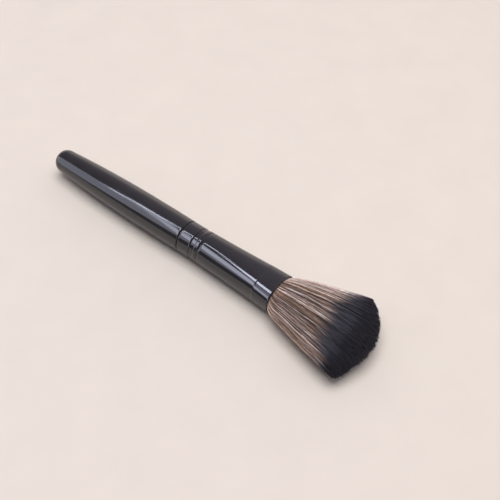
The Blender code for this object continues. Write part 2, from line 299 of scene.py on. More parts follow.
def shell_section(station, inset=0.0):
    """(x, half width, half height, power) of the ferrule's wall at this station."""
    if station <= BODY:
        half_width = half_height = crimp_radius(station)
        power = ROUND_POWER
    elif station <= STEP:
        share = (station - BODY) / BODY_LENGTH
        half_width = blend(BODY_RADIUS, STEP_HALF_WIDTH, share)
        half_height = blend(BODY_RADIUS, STEP_HALF_HEIGHT, share)
        power = blend(ROUND_POWER, PRESSED_POWER, share ** 2)
    else:
        share = (station - STEP) / (FERRULE_LENGTH - STEP)
        sunk = STEP_DEPTH * eased((station - STEP) / STEP_LENGTH) * (1.0 - share)
        half_width = blend(STEP_HALF_WIDTH, MOUTH_HALF_WIDTH, share) + sunk
        half_height = blend(STEP_HALF_HEIGHT, MOUTH_HALF_HEIGHT, share) - sunk
        power = PRESSED_POWER
    return FERRULE_REAR + station, half_width - inset, half_height - inset, power


def build_handle(lacquer, bare_wood):
    sections = handle_sections()
    exposed = len(sections)
    sections += tenon_sections()
    placed = [(BUTT + station, radius, radius, ROUND_POWER) for station, radius in sections]
    piece = loft("lacquered_handle", placed, [lacquer, bare_wood],
                 lambda band: 0 if band < exposed else 1)
    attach(piece, "root")
    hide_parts("handle")


def build_ferrule(look):
    """The shell: forward along its outside, round the mouth's rim, back inside and round the rear rim."""
    edge = SHELL_WALL / 2
    stretches = ((edge, FIRST_GROOVE, COLLAR_SECTIONS), (FIRST_GROOVE, BODY, CRIMP_SECTIONS),
                 (BODY, STEP, BODY_SECTIONS), (STEP, STEP + STEP_LENGTH, STEP_SECTIONS),
                 (STEP + STEP_LENGTH, FERRULE_LENGTH - edge, PRESSED_SECTIONS))
    stations = [station for start, end, count in stretches
                for station in np.linspace(start, end, count + 1)[:-1]]
    stations.append(FERRULE_LENGTH - edge)
    turns = np.linspace(0.0, math.pi, RIM_SECTIONS + 1)[1:-1]
    sections = [shell_section(station) for station in stations]
    sections += [shell_section(FERRULE_LENGTH - edge + edge * math.sin(turn),
                               edge - edge * math.cos(turn)) for turn in turns]
    sections += [shell_section(station, SHELL_WALL) for station in reversed(stations[::2])]
    rear = crimp_radius(0.0)
    for turn in reversed(turns):
        radius = rear - edge + edge * math.cos(turn)
        sections.append((FERRULE_REAR + edge - edge * math.sin(turn), radius, radius, ROUND_POWER))
    piece = loft("crimped_ferrule", sections, [look], lambda band: 0, closed_up=True)
    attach(piece, "root")
    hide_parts("ferrule")


# Hair. Wisps, fine locks and hairs each have a place (across, up) in the unit disc, which stands for
# every section of the tuft. Across runs from -1 at the near edge to 1 at the far edge

HAIR_SEED = 3

# Layers: how many hairs each has, and the radii of the disc between them
OUTER_HAIRS = 3200
UNDER_HAIRS = 3200
INNER_HAIRS = 2600
EDGE_SHARE = 0.985
OUTER_SHARE = 0.88
UNDER_SHARE = 0.74
DISC_SCATTER = 0.05

# One hair: the rings along it, its sides, its radius and how that varies, and its taper to the tip
RING_SHARES = (0.0, 0.001, 0.035, 0.1, 0.2, 0.32, 0.45, 0.58, 0.71, 0.85, 1.0)
HAIR_SIDES = 3
HAIR_RADIUS = 0.095 * MM
THINNEST, THICKEST = 0.75, 1.25
TAPER_START = 0.7
TAPER_SHARE = 0.6
ROOT_DEPTH = 1.2 * MM
WALL_CLEARANCE = 0.06 * MM
LEAST_CHORD = 0.01

# Ends of the hairs: the fringe past the solid tuft and how it frays, most at the far edge; the droop of
# the near corner's low hairs; and notches in the tips, in columns across the tuft and rows up it
TIP_FRINGE = 0.6 * MM
EVEN_FRAY = 0.2 * MM
FAR_FRAY = 0.6 * MM
FRAY_START = 0.6
FRAY_RANGE = 0.25
NEAR_SAG = 2.6 * MM
SAG_START = 0.5
SAG_POWER = 1.5
SAG_TOP = 0.5
SAG_RANGE = 0.9
RAGGED_COLUMNS = 90
RAGGED_ROWS = 3
RAGGED_DEPTH = 0.6 * MM

# Bends. A fine lock gathers its hairs, sinks as a share of the tuft's radius, least where it is light,
# and swings round the axis in radians. It lies in a wisp, which sinks and swings too
WISPS = 150
WISP_DEPTH = 0.02
WISP_SWING = 0.009
WISP_WAVES = (16.0 * MM, 30.0 * MM)
FINE_LOCKS = 3600
LOCK_GATHERS = (0.15, 0.6)
LOCK_DEPTH = 0.03
LIGHT_TONE = 0.6
LIGHT_DEPTH_SHARE = 0.25
DARK_DEPTH_SHARE = 1.4
LOCK_SHORTER = 0.25 * MM
LOCK_SWING = 0.010
LOCK_WAVES = (7.0 * MM, 16.0 * MM)

# Where each bend is full, as a share of the hair's length, and how much of it fades by the tips
GATHER_SPAN = (0.25, 0.45)
LOCK_DEPTH_SPAN = (0.15, 0.7)
WISP_DEPTH_SPAN = (0.3, 0.5)
SWING_SPAN = (0.2, 0.4)

# Single hairs drift round the axis about a pivot, strays the most, and are frizzy
STRAYS = 0.05
STRAY_DRIFT = 0.09
EVEN_DRIFT = 0.008
DRIFT_PIVOT = 0.3
DRIFT_FULL = 0.2
FRIZZ = 0.05 * MM
FRIZZ_FULL = 0.3

# The far side: where it begins, and how much less its locks and wisps gather, swing and sink
FAR_START = 0.1
FAR_RANGE = 0.4
FAR_LOOSE = 0.8
FAR_SHALLOW = 0.75

# The dye's edge: how far past the mouth it lies on the axis, how it slants across the tuft, where and
# how fast it falls back along the near and far edges, how much it varies, and its scale on the map
DYE_REACH = 21.3 * MM
DYE_SLANT = -0.2
NEAR_EDGE = -9.0 * MM
NEAR_SLANT = 0.45
FAR_EDGE = 6.0 * MM
FAR_SLANT = 0.45
LOCK_DYE = 0.010
HAIR_DYE = 0.022
DYE_SCALE = 50.0 * MM
DYE_SHARE = 0.56

# Undyed hairs: how many of those beyond this place on the far side's top, and how far up the map
UNDYED_HAIRS = 0.06
UNDYED_ACROSS = 0.72
UNDYED_UP = -0.1
UNDYED_SHARE = 0.49

# Tones of the hair, as shares of the tone ramp
# The pale tone is partly pale hair and partly painted sheen, where locks would catch the light
DARK, BROWN, OLIVE, RED, TAUPE, PALE_AND_SHEEN, GOLD = 0.04, 0.2, 0.34, 0.5, 0.66, 0.85, 0.97
LAST_TONE = 0.999

# The main locks on the outside of the tuft: the angle round it in degrees, from the far edge over the
# top, with the tone there
UNDERSIDE = -90.0
# The pale and taupe locks over the far side make it lighter: partly the hair's tone, partly painted light
OUTER_TONES = (
    (-60, BROWN), (-35, BROWN), (-10, BROWN), (5, RED), (14, TAUPE), (21, PALE_AND_SHEEN), (28, TAUPE), (34, PALE_AND_SHEEN),
    (40, TAUPE), (46, PALE_AND_SHEEN), (51, TAUPE), (56, PALE_AND_SHEEN), (60, PALE_AND_SHEEN), (64, TAUPE), (68, BROWN), (73, RED),
    (78, BROWN), (82, TAUPE), (86, BROWN), (89, DARK), (93, OLIVE), (97, BROWN), (100, DARK), (103, PALE_AND_SHEEN),
    (106, DARK), (109, BROWN), (112, DARK), (115, BROWN), (118, DARK), (121, PALE_AND_SHEEN), (123, DARK),
    (126, BROWN), (129, DARK), (132, TAUPE), (134, DARK), (137, BROWN), (140, DARK), (143, PALE_AND_SHEEN),
    (146, DARK), (149, BROWN), (152, RED), (155, TAUPE), (158, BROWN), (161, GOLD), (164, RED),
    (168, TAUPE), (172, GOLD), (177, RED), (184, GOLD), (192, RED), (205, RED), (230, OLIVE),
    (260, BROWN))

# Tones by chance: how likely each is for a fine lock and for a single hair. How many fine locks have one
# depends on the angle outside, and on the side of the tuft within this share of its radius. The edges
# between the main locks are blurred by some degrees
CHANCE_TONES = (DARK, BROWN, OLIVE, RED, TAUPE, PALE_AND_SHEEN)
LOCK_CHANCES = (0.38, 0.27, 0.05, 0.08, 0.10, 0.12)
HAIR_CHANCES = (0.38, 0.22, 0.05, 0.07, 0.08, 0.20)
CHANCE_ANGLES = (60, 78, 150, 165)
CHANCE_SHARES = (0.07, 0.5, 0.5, 0.22)
INSIDE_SHARE = 0.86
INSIDE_CHANCE = 0.85
INSIDE_FAR_CHANCE = 0.6
LOCK_BLUR = 1.6
FAR_LOCK_BLUR = 8.0

# Single hairs: how many have a tone by chance, how much tones vary, and how they lighten to both edges
ODD_HAIRS = 0.38
FAR_ODD_HAIRS = 0.62
TONE_SPREAD = 0.08
ODD_TONE_SPREAD = 0.04
# Painted light: hairs on the far side are lifted lighter, as if lit from that side
FAR_PAINTED_LIFT = 0.19
FAR_PAINTED_LIFT_START = 0.25
NEAR_LIFT = 0.05
NEAR_LIFT_START = 0.5
LIFT_RANGE = 0.4
FAR_ODD_PAINTED_LIFT = 0.17

# The hairs' map: its columns, one for each tone, and the margins kept in it
TONES = 96
TONE_MARGIN = 0.1
DYE_MARGIN = 0.002
CAP_HALF_WIDTH = 0.3
CAP_HALF_HEIGHT = 0.002


def far_share(across):
    """0 on the near side of the tuft, rising to 1 on the far side."""
    return eased((across - FAR_START) / FAR_RANGE)


def growth(out, full, fade):
    """How strong a bend is this far out along a hair."""
    return eased(out / full) * (1.0 - fade * out)


def nearest(places, others):
    """For each place, which of the others is nearest."""
    return np.argmin(((places[:, None, :] - others[None, :, :]) ** 2).sum(axis=-1), axis=1)


def tip_sag(across, up):
    """How much longer the low hairs of the near corner are, as they droop to the table there."""
    sideways = np.clip((-across - SAG_START) / (1.0 - SAG_START), 0.0, 1.0) ** SAG_POWER
    return NEAR_SAG * sideways * eased((SAG_TOP - up) / SAG_RANGE)


def tip_reach(across, up):
    """How far past the mouth a hair ends; it is longest a little to the near side of the middle."""
    far = FAR_DROP * (np.clip(across - PEAK_SHARE, 0.0, None) / (1.0 - PEAK_SHARE)) ** DROP_POWER
    near = NEAR_DROP * (np.clip(PEAK_SHARE - across, 0.0, None) / (1.0 + PEAK_SHARE)) ** DROP_POWER
    return HAIR_LENGTH - far - near - DOME_DROP * np.abs(up) ** DOME_POWER


def tuft_places(across, up, reach):
    """Where hairs at (across, up) of the unit disc pass at this reach past the mouth."""
    share = np.clip(reach / HAIR_LENGTH, 0.0, 1.0)
    root_half_width = MOUTH_HALF_WIDTH - SHELL_WALL - WALL_CLEARANCE
    root_half_height = MOUTH_HALF_HEIGHT - SHELL_WALL - WALL_CLEARANCE
    spread = 1.0 - (1.0 - share) ** FLARE_POWER
    puff = 1.0 - (1.0 - share) ** PUFF_POWER
    half_width = blend(root_half_width, TUFT_HALF_WIDTH, blend(spread, puff, PUFF_SHARE))
    swell = TUFT_SWELL * 4.0 * share * (1.0 - share)
    half_height = blend(root_half_height, TIP_HALF_HEIGHT, share) + swell
    rise = up * half_height
    lowest = half_height * np.sqrt(np.clip(1.0 - across ** 2, LEAST_CHORD, None))
    pressed = rise * np.minimum(1.0, (AXIS_HEIGHT + TABLE_PRESS) / lowest)
    rise = np.where(up < 0.0, pressed, rise)
    side = across * half_width + TUFT_LEAN * share
    return np.stack([MOUTH + reach, side + AXIS_ACROSS, rise + AXIS_HEIGHT], axis=-1)


def disc(count, low, high, random):
    """Even places in a ring of the unit disc between two radii, slightly scattered."""
    golden_angle = math.pi * (3.0 - math.sqrt(5.0))
    index = np.arange(count)
    radius = np.sqrt(blend(low ** 2, high ** 2, (index + random.random(count)) / count))
    angle = index * golden_angle + random.normal(0.0, DISC_SCATTER, count)
    return np.stack([radius * np.cos(angle), radius * np.sin(angle)], axis=1)


def dye_reach(across):
    """How far past the mouth the dye begins on a hair that lies this far across the tuft."""
    near = NEAR_SLANT * np.maximum(0.0, NEAR_EDGE - across)
    far = FAR_SLANT * np.maximum(0.0, across - FAR_EDGE)
    return DYE_REACH + DYE_SLANT * across + near + far


def lock_tones(places, random):
    """Each fine lock's tone: that of the main lock it lies in, or one by chance."""
    far = far_share(places[:, 0])
    jitter = random.normal(0.0, 1.0, len(places)) * blend(LOCK_BLUR, FAR_LOCK_BLUR, far)
    angle = np.degrees(np.arctan2(places[:, 1], places[:, 0])) + jitter
    angle = (angle - UNDERSIDE) % 360.0 + UNDERSIDE
    main_angles, main_tones = np.array(OUTER_TONES).T
    own = main_tones[np.argmin(np.abs(angle[:, None] - main_angles[None, :]), axis=1)]
    by_chance = random.choice(CHANCE_TONES, len(places), p=LOCK_CHANCES)
    inside = np.hypot(places[:, 0], places[:, 1]) < INSIDE_SHARE
    chance = np.where(inside, blend(INSIDE_CHANCE, INSIDE_FAR_CHANCE, far),
                      np.interp(angle, CHANCE_ANGLES, CHANCE_SHARES))
    return np.where(random.random(len(places)) < chance, by_chance, own)


def make_wisps(random):
    """Where each wisp lies and how it bends."""
    places = disc(WISPS, 0.0, 1.0, random)
    far = far_share(places[:, 0])
    return {
        "place": places,
        "depth": np.abs(random.normal(0.0, WISP_DEPTH, WISPS)) * (1.0 - FAR_SHALLOW * far),
        "swing": random.normal(0.0, WISP_SWING, WISPS) * (1.0 - FAR_LOOSE * far),
        "wavelength": random.uniform(*WISP_WAVES, WISPS),
        "phase": random.uniform(0.0, math.tau, WISPS),
    }


def make_locks(random):
    """Where each fine lock lies, its tone, how it bends, how much shorter it is, and its dye."""
    places = disc(FINE_LOCKS, 0.0, 1.0, random)
    tones = lock_tones(places, random)
    far = far_share(places[:, 0])
    sunk = np.where(tones > LIGHT_TONE, LIGHT_DEPTH_SHARE, DARK_DEPTH_SHARE)
    return {
        "place": places,
        "tone": tones,
        "gather": random.uniform(*LOCK_GATHERS, FINE_LOCKS) * (1.0 - FAR_LOOSE * far),
        "depth": np.abs(random.normal(0.0, LOCK_DEPTH, FINE_LOCKS)) * sunk * (1.0 - FAR_SHALLOW * far),
        "shorter": np.abs(random.normal(0.0, LOCK_SHORTER, FINE_LOCKS)),
        "swing": random.normal(0.0, LOCK_SWING, FINE_LOCKS),
        "wavelength": random.uniform(*LOCK_WAVES, FINE_LOCKS),
        "phase": random.uniform(0.0, math.tau, FINE_LOCKS),
        "dye": random.normal(0.0, LOCK_DYE, FINE_LOCKS),
    }


def make_notches(random):
    """The notches in the tips: how far up each column starts, and how deep each notch is."""
    return {
        "offset": random.random(RAGGED_COLUMNS),
        "depth": np.abs(random.normal(0.0, RAGGED_DEPTH, (RAGGED_COLUMNS, RAGGED_ROWS + 1))),
    }


def hair_reach(roots, lock, locks, notches, random):
    """How far past the mouth each ring of each hair lies, (hairs, rings); the first is inside it."""
    across, up = roots[:, 0], roots[:, 1]
    column = np.clip((across + 1.0) / 2.0 * RAGGED_COLUMNS, 0, RAGGED_COLUMNS - 1).astype(int)
    row = ((up + 1.0) / 2.0 * RAGGED_ROWS + notches["offset"][column]).astype(int)
    full = tip_reach(across, up) - locks["shorter"][lock]
    full += tip_sag(across, up) - notches["depth"][column, row]
    fray = blend(EVEN_FRAY, FAR_FRAY, eased((across - FRAY_START) / FRAY_RANGE))
    full += TIP_FRINGE - fray * np.abs(random.normal(0.0, 1.0, len(roots)))
    reach = full[:, None] * np.array(RING_SHARES)[None, :]
    reach[:, 0] = -ROOT_DEPTH
    return reach


def hair_places(roots, reach, lock, locks, wisps, random):
    """Ring centres of each hair, (hairs, rings, 3), bent with its lock and wisp and by itself."""
    count = len(roots)
    home = locks["place"][lock]
    wisp = nearest(home, wisps["place"])
    out = np.clip(reach / HAIR_LENGTH, 0.0, 1.0)
    gather = locks["gather"][lock][:, None] * growth(out, *GATHER_SPAN)
    across = blend(roots[:, 0:1], home[:, 0:1], gather)
    up = blend(roots[:, 1:2], home[:, 1:2], gather)
    depth = 1.0 - (locks["depth"][lock][:, None] * growth(out, *LOCK_DEPTH_SPAN)
                   + wisps["depth"][wisp][:, None] * growth(out, *WISP_DEPTH_SPAN))
    turn = np.zeros_like(out)
    for bundle, own in ((locks, lock), (wisps, wisp)):
        wave = math.tau * reach / bundle["wavelength"][own][:, None] + bundle["phase"][own][:, None]
        turn += bundle["swing"][own][:, None] * np.sin(wave) * growth(out, *SWING_SPAN)
    stray = random.random(count) < STRAYS
    drift = np.where(stray, random.normal(0.0, STRAY_DRIFT, count),
                     random.normal(0.0, EVEN_DRIFT, count))
    turn += drift[:, None] * (out - DRIFT_PIVOT) * eased(out / DRIFT_FULL)
    turned_across = depth * (across * np.cos(turn) - up * np.sin(turn))
    turned_up = depth * (across * np.sin(turn) + up * np.cos(turn))
    edge = np.maximum(1.0, np.hypot(turned_across, turned_up) / EDGE_SHARE)
    places = tuft_places(turned_across / edge, turned_up / edge, reach)
    frizz = random.normal(0.0, FRIZZ, (count, len(RING_SHARES), 2))
    places[..., 1:] += frizz * eased(out / FRIZZ_FULL)[..., None]
    places[..., 2] = np.maximum(places[..., 2], HAIR_RADIUS)
    return places


def hair_dye(roots, reach, places, lock, locks, random):
    """How far up the map each ring of each hair lies, from its undyed roots to its dyed tip."""
    dye = (reach - dye_reach(places[..., 1] - AXIS_ACROSS)) / DYE_SCALE + DYE_SHARE
    dye = dye + random.normal(0.0, HAIR_DYE, len(roots))[:, None] + locks["dye"][lock][:, None]
    undyed = random.random(len(roots)) < UNDYED_HAIRS
    undyed &= (roots[:, 0] > UNDYED_ACROSS) & (roots[:, 1] > UNDYED_UP)
    return np.where(undyed[:, None], np.minimum(dye, UNDYED_SHARE), dye)


def hair_tones(across, lock, locks, random):
    """Each hair's tone: its lock's or one by chance, and lighter toward both edges of the tuft, the far
    one as painted light.
    """
    count = len(across)
    far = far_share(across)
    tone = locks["tone"][lock] + random.normal(0.0, TONE_SPREAD, count)
    odd = random.random(count) < blend(ODD_HAIRS, FAR_ODD_HAIRS, far)
    odd_tone = random.choice(CHANCE_TONES, count, p=HAIR_CHANCES)
    odd_tone = odd_tone + random.normal(0.0, ODD_TONE_SPREAD, count)
    tone = np.where(odd, odd_tone, tone)
    # The far side's lift is painted light; the near edge is lifted a little too
    lift = (FAR_PAINTED_LIFT * eased((across - FAR_PAINTED_LIFT_START) / LIFT_RANGE)
            + NEAR_LIFT * eased((-across - NEAR_LIFT_START) / LIFT_RANGE))
    lift += np.where(odd, FAR_ODD_PAINTED_LIFT * far, 0.0)
    tone = np.minimum(tone + lift, np.maximum(tone, PALE_AND_SHEEN))
    return np.clip(tone, 0.0, LAST_TONE)


def hair_mesh(name, places, tone, dye, random, look):
    """Tapered three-sided hairs, closed at both ends. A hair's map is one column for its tone."""
    count, rings, _ = places.shape
    along = np.array(RING_SHARES)
    width = HAIR_RADIUS * random.uniform(THINNEST, THICKEST, (count, 1))
    taper = blend(1.0, TAPER_SHARE, (along - TAPER_START) / (1.0 - TAPER_START))
    width = width * np.where(along < TAPER_START, 1.0, taper)[None, :]
    turn = random.uniform(0.0, math.tau, (count, 1, 1))
    corner = turn + (np.arange(HAIR_SIDES) * math.tau / HAIR_SIDES)[None, None, :]
    points = np.repeat(places[:, :, None, :], HAIR_SIDES, axis=2)
    points[..., 1] += width[..., None] * np.cos(corner)
    points[..., 2] += width[..., None] * np.sin(corner)
    stride = rings * HAIR_SIDES
    points = points.reshape(count * stride, 3)
    base = (np.arange(count) * stride)[:, None, None, None]
    ring = (np.arange(rings - 1) * HAIR_SIDES)[None, :, None, None]
    side = np.arange(HAIR_SIDES)[None, None, :, None]
    beside = (side + 1) % HAIR_SIDES
    quads = np.concatenate([base + ring + side, base + ring + beside,
                            base + ring + HAIR_SIDES + beside, base + ring + HAIR_SIDES + side], axis=3)
    caps = np.arange(count)[:, None] * stride
    root_caps = caps + np.arange(HAIR_SIDES)[::-1][None, :]
    tip_caps = caps + stride - HAIR_SIDES + np.arange(HAIR_SIDES)[None, :]
    faces = quads.reshape(-1, 4).tolist() + root_caps.tolist() + tip_caps.tolist()

    column = np.floor(tone * TONES) / TONES
    left = (column + TONE_MARGIN / TONES)[:, None, None, None]
    left = np.broadcast_to(left, (count, rings - 1, HAIR_SIDES, 1))
    right = left + (1.0 - 2.0 * TONE_MARGIN) / TONES
    level = np.clip(dye, DYE_MARGIN, 1.0 - DYE_MARGIN)
    low = np.broadcast_to(level[:, :-1, None, None], left.shape)
    high = np.broadcast_to(level[:, 1:, None, None], left.shape)
    quad_uv = np.concatenate([left, low, right, low, right, high, left, high], axis=3).reshape(-1, 2)
    cap_corners = np.array([(-CAP_HALF_WIDTH / TONES, -CAP_HALF_HEIGHT),
                            (CAP_HALF_WIDTH / TONES, -CAP_HALF_HEIGHT), (0.0, CAP_HALF_HEIGHT)])

    def cap_uv(share):
        middle = np.stack([column + 0.5 / TONES, share], axis=1)
        return (middle[:, None, :] + cap_corners[None]).reshape(-1, 2)

    uv = np.concatenate([quad_uv, cap_uv(level[:, 0]), cap_uv(level[:, -1])])
    return make_piece(name, points.tolist(), faces, [look], uv=uv)


def build_tuft(look):
    """Three layers of hair that share their wisps, locks and notches."""
    random = np.random.default_rng(HAIR_SEED)
    wisps = make_wisps(random)
    locks = make_locks(random)
    notches = make_notches(random)
    for name, count, low, high in (("tuft_hair_outer", OUTER_HAIRS, OUTER_SHARE, EDGE_SHARE),
                                   ("tuft_hair_under", UNDER_HAIRS, UNDER_SHARE, OUTER_SHARE),
                                   ("tuft_hair_inner", INNER_HAIRS, 0.0, UNDER_SHARE)):
        roots = disc(count, low, high, random)
        lock = nearest(roots, locks["place"])
        reach = hair_reach(roots, lock, locks, notches, random)
        places = hair_places(roots, reach, lock, locks, wisps, random)
        dye = hair_dye(roots, reach, places, lock, locks, random)
        tone = hair_tones(roots[:, 0], lock, locks, random)
        piece = hair_mesh(name, places, tone, dye, random, look)
        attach(piece, "root")
        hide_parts("bristles")


# Materials. A spread is a pair of factors, or of levels, between which a noise varies something

# Gloss black paint and lacquer
GLOSS_IOR = 1.62
HAZE_SCALE = 160.0
SCRATCH_SCALE = 2600.0
PEEL_SCALE = 420.0
SCRATCH_LEVELS = (0.12, 0.5)
GLOSS_ROUGHNESS_SPREAD = (0.75, 1.7)
HAZE_LEVELS = (0.3, 0.75)
HAZE_SPREAD = (0.8, 1.3)

# Mottled matt materials
SPECK_LEVELS = (0.3, 0.7)
SPECK_ROUGHNESS_SPREAD = (0.8, 1.2)
SPECK_BUMP_STRENGTH = 0.6

# Hair: its colours by tone and the dye's, streaks along it, roots lightened partly by painted sheen, and
# the dye's soft edge
HAIR_COLOURS = ((DARK, (0.068, 0.039, 0.029)), (BROWN, (0.21, 0.124, 0.084)),
                (OLIVE, (0.27, 0.185, 0.125)), (RED, (0.44, 0.260, 0.202)),
                (TAUPE, (0.53, 0.415, 0.348)), (PALE_AND_SHEEN, (0.78, 0.725, 0.715)),
                (GOLD, (0.74, 0.440, 0.235)))
DYE_COLOUR = (0.040, 0.040, 0.053)
STREAK_SCALES = (90.0, 45.0, 1.0)
STREAK_LEVELS = (0.3, 0.7)
HAIR_SPREAD = (0.6, 1.36)
DYE_SPREAD = (0.75, 1.2)
ROOT_LEVELS = (0.14, 0.26)
ROOT_TONE_AND_SHEEN = (1.3, 1.0)
DYE_LEVELS = (DYE_SHARE - 0.075, DYE_SHARE + 0.045)
HAIR_ROUGHNESS = (0.38, 0.62)


def node_adder(tree):
    """Gives a short way to add a node to this tree, with its settings, and its inputs set or linked."""

    def add(kind, inputs=None, **settings):
        node = tree.nodes.new(kind)
        for key, value in settings.items():
            setattr(node, key, value)
        for key, value in (inputs or {}).items():
            if isinstance(value, bpy.types.NodeSocket):
                tree.links.new(value, node.inputs[key])
            else:
                node.inputs[key].default_value = value
        return node

    return add


def node_material(name):
    """A material, its shader, and short ways to link and add nodes to it."""
    made = bpy.data.materials.new(name)
    made.use_nodes = True
    tree = made.node_tree
    return made, tree.nodes["Principled BSDF"], tree.links.new, node_adder(tree)


def ramp(node, stops):
    """Sets a colour ramp's stops from (position, colour) pairs."""
    elements = node.color_ramp.elements
    while len(elements) < len(stops):
        elements.new(0.5)
    for element, (position, colour) in zip(elements, stops):
        element.position = position
        element.color = (*colour, 1.0)
    return node


def remap(add, value, source, target, curve="LINEAR"):
    """The output of a new node that maps the source pair of levels to the target pair."""
    return add("ShaderNodeMapRange",
               {"Value": value, "From Min": source[0], "From Max": source[1],
                "To Min": target[0], "To Max": target[1]}, interpolation_type=curve).outputs[0]


def scaled(add, colour, factor):
    """The output of a new node that multiplies a colour by a factor."""
    return add("ShaderNodeVectorMath", {0: colour, "Scale": factor}, operation="SCALE").outputs[0]


def gloss_black(name, colour, roughness, grain_stretch, peel):
    """Gloss black paint or lacquer: faint unevenness, a few fine scratches and hazy patches."""
    made, shader, link, add = node_material(name)
    place = add("ShaderNodeTexCoord").outputs["Object"]
    stretched = add("ShaderNodeMapping", {"Vector": place, "Scale": (grain_stretch, 1.0, 1.0)})
    grain = stretched.outputs[0]
    haze = add("ShaderNodeTexNoise", {"Vector": place, "Scale": HAZE_SCALE, "Detail": 3.0})
    scratch = add("ShaderNodeTexNoise", {"Vector": grain, "Scale": SCRATCH_SCALE, "Detail": 2.0})
    mixed = add("ShaderNodeMath", {0: haze.outputs[0], 1: scratch.outputs[0]}, operation="MULTIPLY")
    rough = remap(add, mixed.outputs[0], SCRATCH_LEVELS,
                  [roughness * factor for factor in GLOSS_ROUGHNESS_SPREAD])
    link(rough, shader.inputs["Roughness"])
    tints = [[part * factor for part in colour] for factor in HAZE_SPREAD]
    tint = ramp(add("ShaderNodeValToRGB", {"Fac": haze.outputs[0]}), list(zip(HAZE_LEVELS, tints)))
    link(tint.outputs[0], shader.inputs["Base Color"])
    wavy = add("ShaderNodeTexNoise", {"Vector": grain, "Scale": PEEL_SCALE, "Detail": 1.0})
    bumps = add("ShaderNodeBump", {"Height": wavy.outputs[0], "Strength": 1.0, "Distance": peel})
    link(bumps.outputs[0], shader.inputs["Normal"])
    shader.inputs["IOR"].default_value = GLOSS_IOR
    return made


def hair_material():
    """Hair whose tone runs across its map and whose dye, from brown to blue-black, runs up it."""
    made, shader, link, add = node_material("dip_dyed_hair")
    uv = add("ShaderNodeUVMap", uv_map=UV_MAP).outputs[0]
    parts = add("ShaderNodeSeparateXYZ", {"Vector": uv})
    streaks = add("ShaderNodeMapping", {"Vector": uv, "Scale": STREAK_SCALES})
    streak = add("ShaderNodeTexNoise", {"Vector": streaks.outputs[0], "Scale": 1.0, "Detail": 2.0})
    noise = streak.outputs[0]
    tone = ramp(add("ShaderNodeValToRGB", {"Fac": parts.outputs["X"]}), HAIR_COLOURS)
    undyed = scaled(add, tone.outputs[0], remap(add, noise, STREAK_LEVELS, HAIR_SPREAD))
    # Partly painted sheen: the hairs' first few millimetres past the mouth are lighter
    root = remap(add, parts.outputs["Y"], ROOT_LEVELS, ROOT_TONE_AND_SHEEN, "SMOOTHSTEP")
    undyed = scaled(add, undyed, root)
    tips = scaled(add, DYE_COLOUR, remap(add, noise, STREAK_LEVELS, DYE_SPREAD))
    dyed = remap(add, parts.outputs["Y"], DYE_LEVELS, (0.0, 1.0), "SMOOTHSTEP")
    mixed = add("ShaderNodeMix", {"Factor": dyed}, data_type="RGBA")
    link(undyed, mixed.inputs["A"])
    link(tips, mixed.inputs["B"])
    link(mixed.outputs["Result"], shader.inputs["Base Color"])
    link(remap(add, noise, (0.0, 1.0), HAIR_ROUGHNESS), shader.inputs["Roughness"])
    return made


def speckled(name, dark, light, roughness, scale, bump):
    """A mottled matt material, for glue, resin, thread, bare wood and the table top."""
    made, shader, link, add = node_material(name)
    place = add("ShaderNodeTexCoord").outputs["Object"]
    speck = add("ShaderNodeTexNoise", {"Vector": place, "Scale": scale, "Detail": 4.0}).outputs[0]
    tint = ramp(add("ShaderNodeValToRGB", {"Fac": speck}), list(zip(SPECK_LEVELS, (dark, light))))
    link(tint.outputs[0], shader.inputs["Base Color"])
    rough = [min(1.0, roughness * factor) for factor in SPECK_ROUGHNESS_SPREAD]
    link(remap(add, speck, (0.0, 1.0), rough), shader.inputs["Roughness"])
    bumps = add("ShaderNodeBump", {"Height": speck, "Strength": SPECK_BUMP_STRENGTH, "Distance": bump})
    link(bumps.outputs[0], shader.inputs["Normal"])
    return made


def dress_inner_nodes():
    """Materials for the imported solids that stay: two adhesives and the binding thread."""
    adhesive = speckled("tenon_adhesive", dark=(0.42, 0.37, 0.26), light=(0.60, 0.55, 0.43),
                        roughness=0.45, scale=900.0, bump=0.03 * MM)
    resin = speckled("root_resin", dark=(0.33, 0.22, 0.11), light=(0.48, 0.36, 0.20),
                     roughness=0.35, scale=700.0, bump=0.03 * MM)
    thread = speckled("cotton_thread", dark=(0.60, 0.57, 0.50), light=(0.78, 0.76, 0.70),
                      roughness=0.85, scale=2500.0, bump=0.06 * MM)
    for node, slot, look in (("tenon_glue", "adhesive", adhesive), ("root_glue", "resin", resin),
                             ("binding_thread", "thread", thread)):
        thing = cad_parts[node]
        thing.data.materials.clear()
        thing.data.materials.append(look)


# Stage, camera and light. Their places are in the photograph's axes, right, away and up from the
# brush's origin, which are the frame's axes turned about Z

PHOTO_TURN = math.radians(38.5)
CAMERA_PLACE = Vector((17.05 * MM, -211.06 * MM, 255.35 * MM))
CAMERA_PITCH = math.radians(50.0)
CAMERA_LENS = 66.12
SENSOR = 36.0
NEAREST_VIEW = 0.01
FARTHEST_VIEW = 20.0
FLOOR_HALF = 5.0
FLOOR_GAP = 0.03 * MM

# Softboxes: azimuth and elevation in degrees, distance, width, height, roll in degrees and radiance
SOFTBOXES = (
    ("side_softbox", -122.9, 29.9, 0.40, 0.762, 0.068, 50.9, 3.55),
    ("low_softbox", -79.8, 11.6, 0.63, 1.6, 0.407, -55.2, 1.69),
    ("top_strip", -77.0, 53.7, 0.40, 0.202, 0.021, 67.9, 8.2),
    ("high_softbox", -97.8, 67.3, 0.40, 0.088, 0.105, 38.9, 10.3))
SOFTBOX_COLOUR = (0.90, 0.93, 1.13)
KEY = ("key_softbox", 38.5, 89.0, 1.2, 1.0, 1.0, 0.0, 3.72)
KEY_COLOUR = (1.0, 0.985, 0.985)

